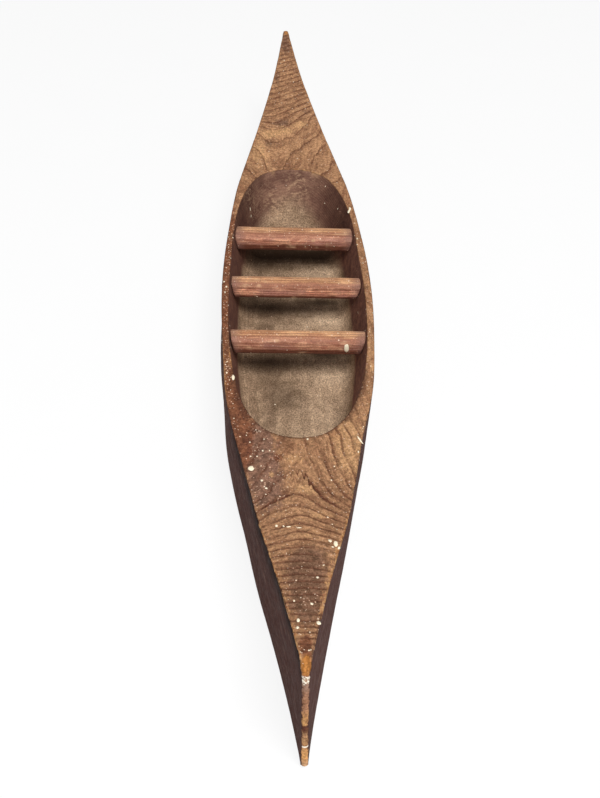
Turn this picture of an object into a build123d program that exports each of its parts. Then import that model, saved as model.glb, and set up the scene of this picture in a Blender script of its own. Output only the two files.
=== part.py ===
from build123d import *
import math
import os

# Small wooden model canoe: one carved block, three thwarts and the brads that hold them.
# X runs from stern to bow, Y to port and Z up, in millimetres.
# The origin is on the resting plane, midway between stern and bow.

# Hull block
length = 457.0
beam = 75.5
depth_amidships = 45.0
end_height = 73.0
stem_thickness = 3.0
taper_power = 1.2
sheer_power = 3.0
end_swing = 3.2
bilge_radius = 12.0
planed_off = 0.4
forefoot_radius = 3.0

# Hollow
hollow_length = 208.6
wall_at_rim = 4.1
floor_thickness = 15.0
side_slope = 11.0
bow_slope = 8.0
stern_slope = 33.0
floor_radius = 9.0
end_squareness = 3.0
side_squareness = 2.8

# Thwarts
stern_thwart_x = -49.5
middle_thwart_x = -7.5
bow_thwart_x = 34.25
stern_thwart_width = 11.75
middle_thwart_width = 8.5
bow_thwart_width = 9.5
thwart_height = 9.5
thwart_corner = 2.2
thwart_drop = 1.5
thwart_gap = 0.1

# Brads, one through each side wall into each thwart end
brad_length = 14.0
brad_radius = 0.6
brad_point = 1.5
brad_tip_radius = 0.1
brad_head_radius = 1.3
brad_head_height = 0.7
brad_proud = 0.2
brad_clearance = 0.02

# Drawing aids: how far cuts run past the wood, and the points each outline is drawn through
cut_margin = 10.0
outline_points = 28
station_shares = (0, 0.15, 0.3, 0.45, 0.6, 0.74, 0.87, 1)

os.makedirs("parts", exist_ok=True)
half_length = length / 2
half_hollow = hollow_length / 2
hollow_half_width = beam / 2 - wall_at_rim
above_deck = end_height + cut_margin
thwart_z = depth_amidships - thwart_drop - thwart_height / 2
PORT = 1
STARBOARD = -1
SIDES = {"port": PORT, "starboard": STARBOARD}
THWARTS = {
    "stern": (stern_thwart_x, stern_thwart_width),
    "middle": (middle_thwart_x, middle_thwart_width),
    "bow": (bow_thwart_x, bow_thwart_width),
}


def half_breadth(x):
    """Half the hull's width at x: full amidships, hollow towards the thin stems."""
    taper = max(math.cos(math.pi / 2 * x / half_length), 0)
    return stem_thickness / 2 + (beam - stem_thickness) / 2 * taper**taper_power


def centreline(x):
    """The hull is carved a little crooked: both ends swing to starboard."""
    return -end_swing * (x / half_length) ** 2


def sheer(x):
    """Height of the deck at x, which sweeps up to both ends."""
    rise = end_height - depth_amidships
    return depth_amidships + rise * abs(x / half_length) ** sheer_power


def oval(stern_x, bow_x, half_width):
    """Points round a squarish oval that reaches from stern_x to bow_x."""
    middle = (stern_x + bow_x) / 2
    reach = (bow_x - stern_x) / 2
    outline = []
    for step in range(outline_points):
        along = math.cos(2 * math.pi * step / outline_points)
        across = math.sin(2 * math.pi * step / outline_points)
        x = middle + reach * math.copysign(abs(along) ** (2 / end_squareness), along)
        y = half_width * math.copysign(abs(across) ** (2 / side_squareness), across)
        outline.append((x, y))
    return outline


def hollow_outline(height, gap):
    """The hollow's outline at a height. Its walls lean in all the way down."""
    drop = depth_amidships - height
    return oval(
        -half_hollow + drop * math.tan(math.radians(stern_slope)) + gap,
        half_hollow - drop * math.tan(math.radians(bow_slope)) - gap,
        hollow_half_width - drop * math.tan(math.radians(side_slope)) - gap,
    )


def hollow_solid(gap=0.0):
    """What is carved out of the hull, smaller all round by gap, and open above the deck."""
    floor = floor_thickness + gap
    top = sheer(half_hollow) + cut_margin
    with BuildPart() as solid:
        for height in (floor, top):
            with BuildSketch(Plane.XY.offset(height)):
                with BuildLine():
                    Spline(*hollow_outline(height, gap), periodic=True)
                make_face()
        loft(ruled=True)
        fillet(solid.edges().group_by(Axis.Z)[0], floor_radius)
    return solid.part


def brad_solid(x, side, gap=0.0, recess=0.0):
    """A brad driven in from the hull's side. With gap and recess, the hole that it fills."""
    head_y = centreline(x) + side * (half_breadth(x) + brad_proud)
    plane = Plane(origin=(x, head_y, thwart_z), x_dir=(1, 0, 0), z_dir=(0, 0, -side))
    with BuildPart() as solid:
        with BuildSketch(plane):
            with BuildLine():
                Polyline(
                    (0, -recess),
                    (brad_head_radius + gap, -recess),
                    (brad_head_radius + gap, brad_head_height),
                    (brad_radius + gap, brad_head_height),
                    (brad_radius + gap, brad_length - brad_point),
                    (brad_tip_radius + gap, brad_length + gap),
                    (0, brad_length + gap),
                    close=True,
                )
            make_face()
        revolve(axis=Axis(plane.origin, plane.y_dir))
    return solid.part


def brad_hole(x, side):
    return brad_solid(x, side, gap=brad_clearance, recess=beam / 2)


with BuildPart() as hull:
    forward_stations = [share * half_length for share in station_shares]
    aft_stations = [-x for x in reversed(forward_stations[1:])]
    for x in aft_stations + forward_stations:
        half = half_breadth(x)
        middle = centreline(x)
        with BuildSketch(Plane.YZ.offset(x)):
            with BuildLine():
                FilletPolyline(
                    (middle - half, above_deck),
                    (middle - half, -planed_off),
                    (middle + half, -planed_off),
                    (middle + half, above_deck),
                    radius=bilge_radius * half / (beam / 2),
                )
                Line((middle + half, above_deck), (middle - half, above_deck))
            make_face()
    loft()
    with BuildSketch(Plane.XZ):
        with BuildLine():
            Spline(*[(x, sheer(x)) for x in aft_stations + forward_stations])
            FilletPolyline(
                (half_length, end_height),
                (half_length, 0),
                (-half_length, 0),
                (-half_length, end_height),
                radius=forefoot_radius,
            )
        make_face()
    extrude(amount=beam, both=True, mode=Mode.INTERSECT)
    add(hollow_solid(), mode=Mode.SUBTRACT)
    for x, width in THWARTS.values():
        for side in SIDES.values():
            add(brad_hole(x, side), mode=Mode.SUBTRACT)
hull.part.label = "hull"
export_step(hull.part, "parts/hull.step")

inside = hollow_solid(thwart_gap)
for place, (x, width) in THWARTS.items():
    with BuildPart() as thwart:
        with BuildSketch(Plane.XZ):
            with Locations((x, thwart_z)):
                RectangleRounded(width, thwart_height, thwart_corner)
        extrude(amount=beam / 2, both=True)
        add(inside, mode=Mode.INTERSECT)
        for side in SIDES.values():
            add(brad_hole(x, side), mode=Mode.SUBTRACT)
    thwart.part.label = f"{place}_thwart"
    export_step(thwart.part, f"parts/{place}_thwart.step")

    for side_name, side in SIDES.items():
        with BuildPart() as brad:
            add(brad_solid(x, side))
        brad.part.label = f"{place}_{side_name}_brad"
        export_step(brad.part, f"parts/{place}_{side_name}_brad.step")
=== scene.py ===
import math

import bmesh
import bpy
import numpy as np
from mathutils import Matrix, Vector
from mathutils.bvhtree import BVHTree


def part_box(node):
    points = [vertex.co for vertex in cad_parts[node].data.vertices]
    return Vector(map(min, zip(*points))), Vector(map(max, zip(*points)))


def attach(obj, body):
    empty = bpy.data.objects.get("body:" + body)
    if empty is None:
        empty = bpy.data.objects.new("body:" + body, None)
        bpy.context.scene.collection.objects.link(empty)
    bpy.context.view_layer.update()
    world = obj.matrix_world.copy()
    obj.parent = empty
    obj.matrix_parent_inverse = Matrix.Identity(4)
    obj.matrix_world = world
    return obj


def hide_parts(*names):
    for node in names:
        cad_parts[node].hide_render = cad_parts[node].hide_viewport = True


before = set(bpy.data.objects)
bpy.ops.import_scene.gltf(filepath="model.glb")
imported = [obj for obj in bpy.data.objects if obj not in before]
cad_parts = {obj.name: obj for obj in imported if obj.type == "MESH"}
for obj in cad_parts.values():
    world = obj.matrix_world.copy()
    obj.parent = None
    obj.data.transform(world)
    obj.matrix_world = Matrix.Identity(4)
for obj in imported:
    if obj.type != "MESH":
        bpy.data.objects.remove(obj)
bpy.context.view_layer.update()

# A carved wooden model canoe with three whittled thwarts and splashes of paint.
# The mesh code works in millimetres in the CAD frame: X runs to the bow, Y to port and Z up.
MM = 0.001
low, high = (np.array(corner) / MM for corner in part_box("hull"))
HALF = high[0]
BEAM = high[1] - low[1]
END = high[2]

# The hull's carving. The sizes are the CAD part's, but the forefoot and the foot of the walls are sharper.
STEM = 3.0
TAPER = 1.2
SWING = 3.2
DEPTH = 45.0
FLOOR = 15.0
BILGE = 12.0
FOREFOOT = 1.0
HOLLOW = 104.3
HOLLOW_SIDE = 33.65
HOLLOW_DEPTH = DEPTH - FLOOR
FILLET = 6.0
SIDE_SLOPE, BOW_SLOPE, STERN_SLOPE = (math.radians(angle) for angle in (11, 8, 33))

# Hand carving: where the sides bulge, (amount, x, half length), and the bow's tip, worn to a short slope
BULGES = [(1.1, 76, 24), (0.8, 152, 22), (0.4, -214, 16), (0.9, -86, 25)]
WORN_LENGTH = 6.5
WORN_DROP = 4.7

# The hull mesh has rows across the hull, and columns over the deck or round the outside.
# RIM_TURN is the X at which the hollow's rim turns from its sides into its ends.
RIM_TURN = 93.0
HOLLOW_ROWS, HOLLOW_COLUMNS, END_ROWS = 150, 112, 104
SIDE_COLUMNS, BILGE_COLUMNS, BOTTOM_COLUMNS = 40, 8, 48
WALL_STEPS, FILLET_STEPS = 15, 10
EDGE_STEPS = np.array([0, 0.22, 0.5, 0.9])
NOSE_RADIUS = STEM / 2
NOSE_STRIDE = 16
# How many columns a row moves on by where its half breadth is over each limit: (limit, stride)
DECK_STRIDES = [(22, 1), (11, 2), (5.5, 4), (2.8, 8), (0, NOSE_STRIDE)]
OUTSIDE_STRIDES = [(20, 1), (9, 2), (4, 4), (0, 8)]
# Kinds of hull surface, the distance to an edge under which a point is on it, and how far such a point
# is cut back, as a share of the edge's radius
OUTSIDE, DECK, RIM, INSIDE, NOSE = 0, 1, 1.5, 2, 3
ON_EDGE = 1e-6
CORNER_CUT = 0.414

# The thwart mesh: points round the bar, rows along it, and how its ends are closed and rounded off
BAR_POINTS, BAR_ROWS = 57, 82
BAR_CAP = np.array([0, 0.35, 0.7])
BAR_END_STEPS = np.array([0, 0.2, 0.5, 0.9])
BAR_INSET = 1.2
BAR_GAP = 0.12

# Painted shadows under and between the thwarts and down the floor's starboard side, painted light on the
# hollow's floor with pale scuffs in the stern scoop, and where the deck and rims are stained or worn:
# (x, y, half length, half width, strength)
SPOTS = {
    # painted shadows on the floor
    "painted_shadow": [
        (-72, -14, 7, 18, 0.8), (-66, -8, 7, 30, 0.88), (-68, 18, 7, 14, 0.8), (-55, -18, 7, 12, 0.35),
        (-25, 17, 4, 14, 0.7), (-30, -25, 9, 8, 0.5), (-54, -4, 5, 26, 0.3), (-30, 0, 15, 30, 0.1),
        (12, 0, 15, 30, 0.1), (-20, -10, 9, 26, 0.6), (16, 17, 5, 14, 0.8), (24, -10, 9, 26, 0.5),
        (48, -4, 11, 9, 0.5), (20, -14, 60, 9, 0.3),
    ],
    # painted light on the floor, and pale scuffs where these reach the stern scoop
    "pale": [
        (-99, 4, 5, 8, 1.0), (-92, -10, 5, 7, 1.0), (-85, -27, 7, 6, 1.2), (-53, 17, 7, 13, 1.0),
        (-11, 17, 9, 13, 1.0), (30, 19, 9, 12, 1.0), (64, 12, 22, 12, 0.45), (88, -4, 12, 18, 0.45),
    ],
    "red": [
        (5, -35.5, 62, 5, 1.2), (84, -28, 25, 8, 1.0), (113, -25, 17, 5, 0.8), (102, 15, 6, 5, 0.7),
        (109, -1, 3, 9, 0.5), (117, -10.5, 4, 2, 0.9), (217, -3, 7, 3, 1.0), (213, 3, 9, 1.6, 0.9),
        (5, 36, 60, 4, 0.22), (-175, -10, 20, 5, 0.3), (-60, -34, 25, 4, 0.3), (-98, -8, 3, 14, 0.5),
    ],
    "grey": [(121, -17, 24, 8, 1.0), (104, -19, 10, 5, 0.5), (-165, -6, 8, 9, 0.4), (140, -13, 14, 8, 0.4)],
    "dull": [
        (192, -2, 19, 7.5, 1.0), (175, 1, 10, 9, 0.6), (-217, -3, 9, 5, 1.0), (-190, -9, 7, 3, 0.8),
        (-148, -6, 5, 8, 0.8), (-128, -14, 6, 5, 0.6), (-158, 9, 4, 5, 0.6), (128, -1, 2, 6, 0.4),
    ],
    "bare": [
        (-20, 36, 70, 5, 0.35), (60, 33, 35, 6, 0.5), (110, 20, 24, 9, 1.0), (-138, -13, 4, 6, 0.9),
        (-141, -4, 3.5, 6, 0.9), (-147, 5, 4, 6, 0.9), (-120, -20, 16, 6, 0.7), (136, 0, 4, 7, 0.8),
        (151, 5, 4, 6, 0.7), (161, 0, 3, 10, 0.6), (204, 5, 6, 2, 0.9), (212, -4, 4, 1.6, 0.7),
        (-125, 22, 20, 6, 0.3), (103, -3, 4, 9, 0.6), (-205, 4, 9, 2, 0.7), (-122, -2, 22, 20, 0.33),
        (118, -4, 4, 5, 0.9), (127.6, -13.4, 1.6, 1.5, 1.2),
    ],
    "orange": [(225.6, -3.1, 3.6, 1.8, 1.4), (-226.5, -3, 2, 1.4, 0.8)],
}

# Paint that dripped on the canoe: (x, y, half length, half width, degrees it is turned by)
DRIPS = [
    (124.3, -21.7, 1.5, 1.35, 20), (131.3, -17.3, 0.62, 0.48, 0), (135.8, -15.6, 0.55, 0.48, 40),
    (117, -22, 0.39, 0.4, 0), (117, -19.3, 0.39, 0.4, 0), (113.5, -17, 0.47, 0.4, 0),
    (113.4, -14.1, 0.39, 0.32, 0), (108.4, -22.4, 0.39, 0.32, 0), (100.7, -19.9, 0.31, 0.32, 0),
    (106.1, 2, 0.55, 0.48, 0), (130.8, 10.8, 0.47, 0.4, 0), (122.6, 12.5, 0.31, 0.32, 0),
    (106.2, 24.3, 2.7, 0.42, 25), (113.7, 23.1, 0.55, 0.32, 10), (118.6, 23.1, 0.62, 0.28, 0),
    (157, -11.7, 0.62, 0.48, 0), (157.2, -9, 0.39, 0.4, 90), (157.6, -7, 0.25, 1, 0),
    (158.1, -3.1, 0.2, 0.9, 4), (166.8, 10.4, 1.5, 0.8, 0), (165.1, 8.3, 0.8, 0.55, 30),
    (168.9, 11.5, 0.8, 0.5, -20), (168.5, 9.2, 0.55, 0.4, 60), (184.5, 2.7, 0.62, 0.48, 0),
    (197.8, 0, 0.7, 0.48, 30), (196.3, -6.1, 0.47, 0.32, 0), (206, -5, 0.95, 0.55, 0),
    (209.4, -5.3, 0.65, 0.5, 0), (207.2, 1.9, 1.05, 0.75, 10), (44.9, 22.7, 2.7, 1.25, 4),
    (-3.3, -36.6, 0.62, 0.44, 0), (0.7, -35.3, 0.62, 0.48, 0), (5, -35.9, 0.55, 0.4, 0),
    (66.8, -30.4, 1.9, 0.7, 0), (63.7, -33.4, 0.62, 0.4, 0), (56.1, -33.4, 0.39, 0.4, 0),
    (-66.6, 30.2, 2.3, 0.6, -18), (-69, 30.8, 1.2, 0.65, 6), (-71.6, 24.5, 0.39, 0.32, 0),
    (-41.8, 33.1, 0.55, 0.4, 0), (-71, -24.9, 1.1, 0.22, 10), (-66, -24.6, 0.9, 0.2, -8),
]
# Finer specks: how many, from x, to x, and between which shares of the half breadth
SPRAYS = [
    (230, -222, 222, -1.0, 1.0), (110, -55, 102, -0.98, -0.9), (70, 100, 150, -0.95, -0.2),
    (60, -60, 110, 0.88, 0.98), (22, 150, 215, -0.9, 0.9), (90, -60, 45, -0.85, 0.85),
]
# Paint with a half length under FINE is a speck, and below the height LOW_DOWN only a SETTLED share shows.
# A daub rises in rings, each (share of its width, share of its height), to a point at its middle.
FINE = 0.5
SETTLED = 0.4
LOW_DOWN = 30
DAUB_RINGS = ((1.0, -0.12), (0.9, 0.45), (0.55, 0.9))

# The camera's line of sight, along which paint is laid where it meets the wood first
SIGHT = Vector((-0.7056, 0.0468, -0.7071)).normalized()
SIGHT_START = 80


def smooth(t, lo=0.0, hi=1.0):
    """A smooth step from 0 at lo to 1 at hi."""
    t = np.clip((t - lo) / (hi - lo), 0, 1)
    return t * t * (3 - 2 * t)


def bump(x, centre, width):
    """A soft bump: 1 at centre and nearly 0 at two widths away."""
    return np.exp(-(((x - centre) / width) ** 2))


def noise(points, size, seed=0):
    """Smooth value noise from -1 to 1; size is the width of its lumps."""
    place = np.asarray(points, float) / np.array(size) + 7.31 * seed
    cell = np.floor(place)
    share = smooth(place - cell)
    total = 0
    for offset in np.ndindex(2, 2, 2):
        corner = np.array(offset)
        weight = np.prod(np.where(corner, share, 1 - share), axis=-1)
        scatter = np.sin(((cell + corner) % 289) @ np.array([127.1, 311.7, 74.7]) + seed) * 43758.5453
        total = total + weight * (scatter - np.floor(scatter))
    return total * 2 - 1


def fbm(points, size, seed=0, octaves=3):
    """Noise with finer, weaker octaves added."""
    size = np.array(size, float)
    total = sum(noise(points, size / 2**k, seed + 11 * k) / 2**k for k in range(octaves))
    return total / (2 - 2 ** (1 - octaves))


def blobs(points, spots):
    """A soft mask made of oval spots."""
    total = 0
    for x, y, reach_x, reach_y, strength in spots:
        total = total + strength * bump(points[:, 0], x, reach_x) * bump(points[:, 1], y, reach_y)
    return np.clip(total, 0, 1)


def rounded(radius, inset):
    """How far a rounded edge lies below the flat at inset from the edge."""
    return radius - np.sqrt(np.clip(radius**2 - np.clip(radius - inset, 0, None) ** 2, 0, None))


def half_breadth(x):
    taper = np.cos(np.pi / 2 * np.clip(np.abs(x) / HALF, 0, 1))
    bulges = sum(amount * bump(x, centre, width) for amount, centre, width in BULGES)
    return STEM / 2 + (BEAM - STEM) / 2 * taper**TAPER + bulges


def tuck(x, z, port):
    """How much nearer the middle a side's foot stands than the deck's edge."""
    amount = np.where(port, 1.1 * bump(x, 153, 22), bump(x, 56, 20) - 0.7 * bump(x, 108, 18))
    return amount * (1 - z / sheer(x))


def deck_middle(x):
    """The deck's centreline: both ends swing to starboard, and so does the hollow's bow end."""
    return -SWING * (x / HALF) ** 2 - bump(x, 100, 26)


def sheer(x):
    """Height of the deck, which is worn down at the tip of the bow."""
    worn = WORN_DROP * np.clip((x - HALF + WORN_LENGTH) / WORN_LENGTH, 0, 1)
    return DEPTH + (END - DEPTH) * np.abs(x / HALF) ** 3 - worn


def middle(x, z):
    """The hull's centreline, which leans: the keel isn't under the deck's middle."""
    deck = deck_middle(x)
    keel = -1.5 + 0.9 * x / HALF
    lean_from = sheer(x) * (0.72 + 0.28 * (x / HALF) ** 2)
    return deck + (keel - deck) * np.clip(1 - z / lean_from, 0, 1)


def oval_powers(along):
    """The superellipse powers of the rim, which is squarer at the stern end."""
    blend = smooth(along, -0.6, 0.6)
    return 3.0 - 0.4 * blend, 2.8 - 0.3 * blend


def oval(a, b):
    """Where a square's border point (a, b) lies on the rim, as shares of its half sizes."""
    n, m = oval_powers(a)
    turn = RIM_TURN / HOLLOW
    along, across = a * turn, b * (1 - turn**n) ** (1 / m)
    on_side = np.abs(b) >= 1 - 1e-9
    side = np.sign(b) * (1 - np.abs(along) ** n) ** (1 / m)
    end = np.sign(a) * (1 - np.abs(across) ** m) ** (1 / n)
    return np.where(on_side, along, end), np.where(on_side, side, across)


def thick_rim(x, side):
    """How much thicker the port wall is by the two thwarts at the stern."""
    return 0.9 * bump(x, -34, 27) * smooth(side, 0.3, 0.9)


def wall_run(h, slope):
    """How far a wall has come in at h below the rim, with the fillet at its foot."""
    tangent = HOLLOW_DEPTH - FILLET * (1 - math.sin(slope))
    foot = tangent * math.tan(slope) + FILLET * math.cos(slope)
    arc = foot - np.sqrt(np.clip(FILLET**2 - (h - HOLLOW_DEPTH + FILLET) ** 2, 0, None))
    return np.where(h < tangent, h * math.tan(slope), arc)


def wall_depths():
    """How far below the rim each lap of the walls lies."""
    tangent = HOLLOW_DEPTH - FILLET * (1 - math.sin(SIDE_SLOPE))
    straight = np.linspace(EDGE_STEPS[-1], tangent, WALL_STEPS)[1:]
    angles = np.linspace(SIDE_SLOPE, math.pi / 2, FILLET_STEPS)[1:]
    return np.concatenate([EDGE_STEPS, straight, HOLLOW_DEPTH - FILLET + FILLET * np.sin(angles)])


def wall_y(x, z, side):
    """The hollow's side wall at x and height z."""
    along = x / HOLLOW
    n, m = oval_powers(along)
    half = HOLLOW_SIDE * (1 - np.abs(along) ** n) ** (1 / m) - wall_run(sheer(x) - z, SIDE_SLOPE)
    return side * half + deck_middle(x) - thick_rim(x, side)


class Skin:
    """Joins grids of points, whose rows may drop columns, into one welded mesh."""

    def __init__(self):
        self.points = []
        self.info = []
        self.faces = []
        self.count = 0

    def add(self, rows, info, keep=None):
        n, m, _ = rows.shape
        ids = self.count + np.arange(n * m).reshape(n, m)
        if keep is None:
            keep = np.ones((n, m), bool)
        self.points.append(rows.reshape(-1, 3))
        self.info.append(info.reshape(n * m, -1))
        self.count += n * m
        for r in range(n - 1):
            both = np.flatnonzero(keep[r] & keep[r + 1])
            for start, stop in zip(both[:-1], both[1:]):
                one = ids[r, start : stop + 1][keep[r, start : stop + 1]]
                other = ids[r + 1, start : stop + 1][keep[r + 1, start : stop + 1]]
                self.faces.append(np.concatenate([one, other[::-1]]))

    def weld(self):
        """The points used, without doubles, their info, and the faces."""
        points, info = np.concatenate(self.points), np.concatenate(self.info)
        used = np.unique(np.concatenate(self.faces))
        _, first, back = np.unique(
            np.round(points[used], 4), axis=0, return_index=True, return_inverse=True
        )
        new_id = np.zeros(len(points), int)
        new_id[used] = back.ravel()
        faces = [list(dict.fromkeys(new_id[f].tolist())) for f in self.faces]
        return points[used][first], info[used][first], [f for f in faces if len(f) > 2]


def strides(widths, count, pins, steps):
    """The columns that each row keeps: fewer between the pins where it is narrow."""
    keep = np.zeros((len(widths), count), bool)
    start, stop = pins
    keep[:, :start] = keep[:, stop + 1 :] = True
    for row, width in enumerate(widths):
        stride = next((s for limit, s in steps if width > limit), steps[-1][1])
        keep[row, start : stop + 1 : stride] = True
    return keep


def hollow_grid():
    """The hollow as laps of a grid, from the rim down and over the floor, with its info."""
    i, j = np.meshgrid(np.arange(HOLLOW_ROWS + 1), np.arange(HOLLOW_COLUMNS + 1), indexing="ij")
    lap = np.minimum(np.minimum(i, HOLLOW_ROWS - i), np.minimum(j, HOLLOW_COLUMNS - j))
    half_i, half_j = HOLLOW_ROWS / 2, HOLLOW_COLUMNS / 2
    a = (i - half_i) / (half_i - lap)
    b = np.where(lap < half_j, (j - half_j) / np.maximum(half_j - lap, 1), 1)
    along, across = oval(a, b)
    depths = wall_depths()
    walls = len(depths) - 1
    h = depths[np.minimum(lap, walls)]
    inner = np.clip((lap - walls) / (half_j - walls), 0, 1)
    end_run = np.where(along > 0, wall_run(h, BOW_SLOPE), wall_run(h, STERN_SLOPE))
    shrink = 1 - inner * (half_j - walls) / (half_i - walls)
    around = np.stack([along * 60, across * 60, h * 0.3], -1)
    wobble = 0.45 * fbm(around, 22, 3) * (lap <= walls)
    x = along * ((HOLLOW - end_run) * shrink + wobble * (np.abs(b) < 1))
    y = across * ((HOLLOW_SIDE - wall_run(h, SIDE_SLOPE)) * (1 - inner) + wobble)
    y = y + deck_middle(along * HOLLOW) - thick_rim(along * HOLLOW, across) * (1 - inner)
    rim_z = sheer(along * HOLLOW)
    z = rim_z - (rim_z - FLOOR) * h / HOLLOW_DEPTH
    # The pale floor climbs the scooped stern end
    scoop = smooth(-along, 0.4, 0.75)
    start = 19 - 15 * scoop * bump(y, -2, 19)
    low_down = smooth(h, start, start + 7 + 13 * scoop)
    floor = np.maximum(low_down, lap > walls)
    return np.stack([x, y, z], -1), np.stack([np.where(lap > 0, INSIDE, RIM), h, floor], -1)


def rim_strip(stations, rim, sign):
    """The deck beside the hollow, from the hull's edge in to the rim, with its info."""
    edge = deck_middle(stations) + sign * half_breadth(stations)
    width = np.abs(edge - rim)[:, None]
    steps = EDGE_STEPS[None] + 0 * width
    across = np.concatenate([steps, width / 2, (width - steps)[:, ::-1]], 1)
    y = edge[:, None] - sign * across
    x = stations[:, None] + 0 * y
    info = np.stack([DECK + 0 * y, np.minimum(across, width - across), 0 * y], -1)
    return np.stack([x, y, sheer(x)], -1), info


def end_rows(sign, start, steps):
    """Rows of deck, with their info, from the row start at the hollow's end out to the tip."""
    tip = HALF - NOSE_RADIUS
    start_x, start_y = start[:, 0], start[:, 1]
    lead = start_x - sign * RIM_TURN
    u_start = (start_y - deck_middle(start_x)) / half_breadth(start_x)
    u_even = np.linspace(-1, 1, len(start))
    phi = u_even * math.pi / 2
    rows, infos = [], []
    for step in steps:
        even = smooth(step, RIM_TURN, RIM_TURN + 50)
        bunched = smooth(step, 150, 225)
        base_x = sign * step + lead * (1 - np.clip((step - RIM_TURN) / 60, 0, 1)) ** 2
        x = base_x + sign * NOSE_RADIUS * np.cos(phi) * smooth(step, 220, tip)
        u = (1 - even) * u_start + even * u_even
        u = (1 - bunched) * u + bunched * np.sin(phi)
        half = half_breadth(base_x)
        for column, inset in enumerate(EDGE_STEPS):
            fixed = 1 - inset * min(1, half[column] / 20) / half[column]
            blend = (1 - bunched) * (column > 0)
            u[column] = blend * -fixed + (1 - blend) * u[column]
            u[-1 - column] = blend * fixed + (1 - blend) * u[-1 - column]
        u[0], u[-1] = -1, 1
        y = deck_middle(base_x) + half * u
        rows.append(np.stack([x, y, sheer(x)], -1))
        to_side = half * (1 - np.abs(u))
        to_rim = np.hypot(base_x - start_x, np.clip(np.abs(y) - 18, 0, None) * 0.5)
        to_tip = np.abs(sign * (tip + NOSE_RADIUS * np.cos(phi)) - x)
        to_edge = np.minimum(np.minimum(to_side, to_rim), to_tip)
        infos.append(np.stack([DECK + 0 * u, to_edge, 0 * u], -1))
    return np.array(rows), np.array(infos)


def deck_rows():
    """The deck, rims and hollow as one grid, with its info and its rows' X."""
    hollow, hollow_info = hollow_grid()
    stations = RIM_TURN * np.linspace(-1, 1, HOLLOW_ROWS + 1)
    left, left_info = rim_strip(stations, hollow[:, 0, 1], -1)
    right, right_info = rim_strip(stations, hollow[:, -1, 1], 1)
    grid = np.concatenate([left[:, :-1], hollow, right[:, ::-1][:, 1:]], 1)
    info = np.concatenate([left_info[:, :-1], hollow_info, right_info[:, ::-1][:, 1:]], 1)
    far = np.linspace(RIM_TURN + EDGE_STEPS[-1], HALF - NOSE_RADIUS, END_ROWS - 2)[1:]
    steps = np.concatenate([RIM_TURN + EDGE_STEPS[1:], far])
    stern, stern_info = end_rows(-1, grid[0], steps)
    bow, bow_info = end_rows(1, grid[-1], steps)
    rows = np.concatenate([stern[::-1], grid, bow])
    infos = np.concatenate([stern_info[::-1], info, bow_info])
    return rows, infos, np.concatenate([-steps[::-1], stations, steps])


def outside_rows(stations):
    """The sides, bilges and bottom, from the deck's starboard edge round to port, with their info."""
    half = half_breadth(stations)[:, None]
    x = stations[:, None]
    deck = sheer(x)
    past = np.clip(np.abs(x) - (HALF - FOREFOOT), 0, FOREFOOT)
    bottom = FOREFOOT - np.sqrt(FOREFOOT**2 - past**2)
    radius = np.maximum(BILGE * half / (BEAM / 2), np.minimum(1.0, 0.92 * half))
    rest = np.linspace(0, 1, SIDE_COLUMNS - 2)[None, 1:]
    reach = deck - bottom - radius
    below = EDGE_STEPS[-1] + (reach - EDGE_STEPS[-1]) * rest
    depth = np.concatenate([EDGE_STEPS[None] + 0 * half, below], 1)
    turn = np.linspace(0, math.pi / 2, BILGE_COLUMNS + 1)[None, 1:]
    flat = np.linspace(-1, 1, BOTTOM_COLUMNS + 1)[None, 1:-1]
    side_out = np.concatenate([-half + 0 * depth, -(half - radius) - radius * np.cos(turn)], 1)
    side_z = np.concatenate([deck - depth, bottom + radius * (1 - np.sin(turn))], 1)
    out = np.concatenate([side_out, (half - radius) * flat, -side_out[:, ::-1]], 1)
    z = np.concatenate([side_z, bottom + 0 * flat, side_z[:, ::-1]], 1)
    y = middle(x, z) + out * (1 - tuck(x, z, out > 0) / half)
    rows = np.stack([x + 0 * y, y, z], -1)
    return rows, np.stack([OUTSIDE + 0 * y, np.minimum(np.clip(deck - z, 0, None), 60), 0 * y], -1)


def nose_rows(top, around, sign):
    """The rounded stem between the sides, from the deck's tip down to the forefoot, with its info."""
    count = len(around)
    phi = np.linspace(-1, 1, len(top)) * math.pi / 2
    tip = sign * (HALF - NOSE_RADIUS)
    rows = [top]
    for column in range(1, SIDE_COLUMNS):
        z = around[column, 2]
        profile = HALF - FOREFOOT + math.sqrt(FOREFOOT**2 - max(FOREFOOT - z, 0) ** 2)
        x = tip + sign * max(profile - HALF + NOSE_RADIUS, 0) * np.cos(phi)
        fade = 1 - column / SIDE_COLUMNS
        y = middle(tip, z) + half_breadth(tip) * np.sin(phi)
        row = np.stack([x, y, z + (sheer(x) - sheer(tip)) * fade], -1)
        row[0], row[-1] = around[column], around[count - 1 - column]
        rows.append(row)
    rows.append(around[SIDE_COLUMNS : count - SIDE_COLUMNS : BILGE_COLUMNS])
    rows = np.array(rows)
    depth = np.clip(sheer(tip) - rows[..., 2], 0, None)
    front = 1 - np.abs(np.sin(phi)) ** 3 + 0 * depth
    return rows, np.stack([NOSE + 0 * depth, depth, front], -1)


def hull_skin():
    """The hull's points, their info and its faces. Info is (kind, distance to an edge, floor)."""
    skin = Skin()
    top, top_info, stations = deck_rows()
    widths = half_breadth(stations)
    columns = top.shape[1]
    keep = strides(widths, columns, (0, columns - 1), DECK_STRIDES)
    keep[np.abs(stations) <= RIM_TURN] = True
    keep[0] = keep[-1] = np.arange(columns) % NOSE_STRIDE == 0
    skin.add(top, top_info, keep)
    around, around_info = outside_rows(stations)
    pins = (SIDE_COLUMNS, around.shape[1] - 1 - SIDE_COLUMNS)
    skin.add(around, around_info, strides(widths, around.shape[1], pins, OUTSIDE_STRIDES))
    for sign, row in ((-1, 0), (1, -1)):
        skin.add(*nose_rows(top[row][::NOSE_STRIDE], around[row], sign))
    return skin.weld()


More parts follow.
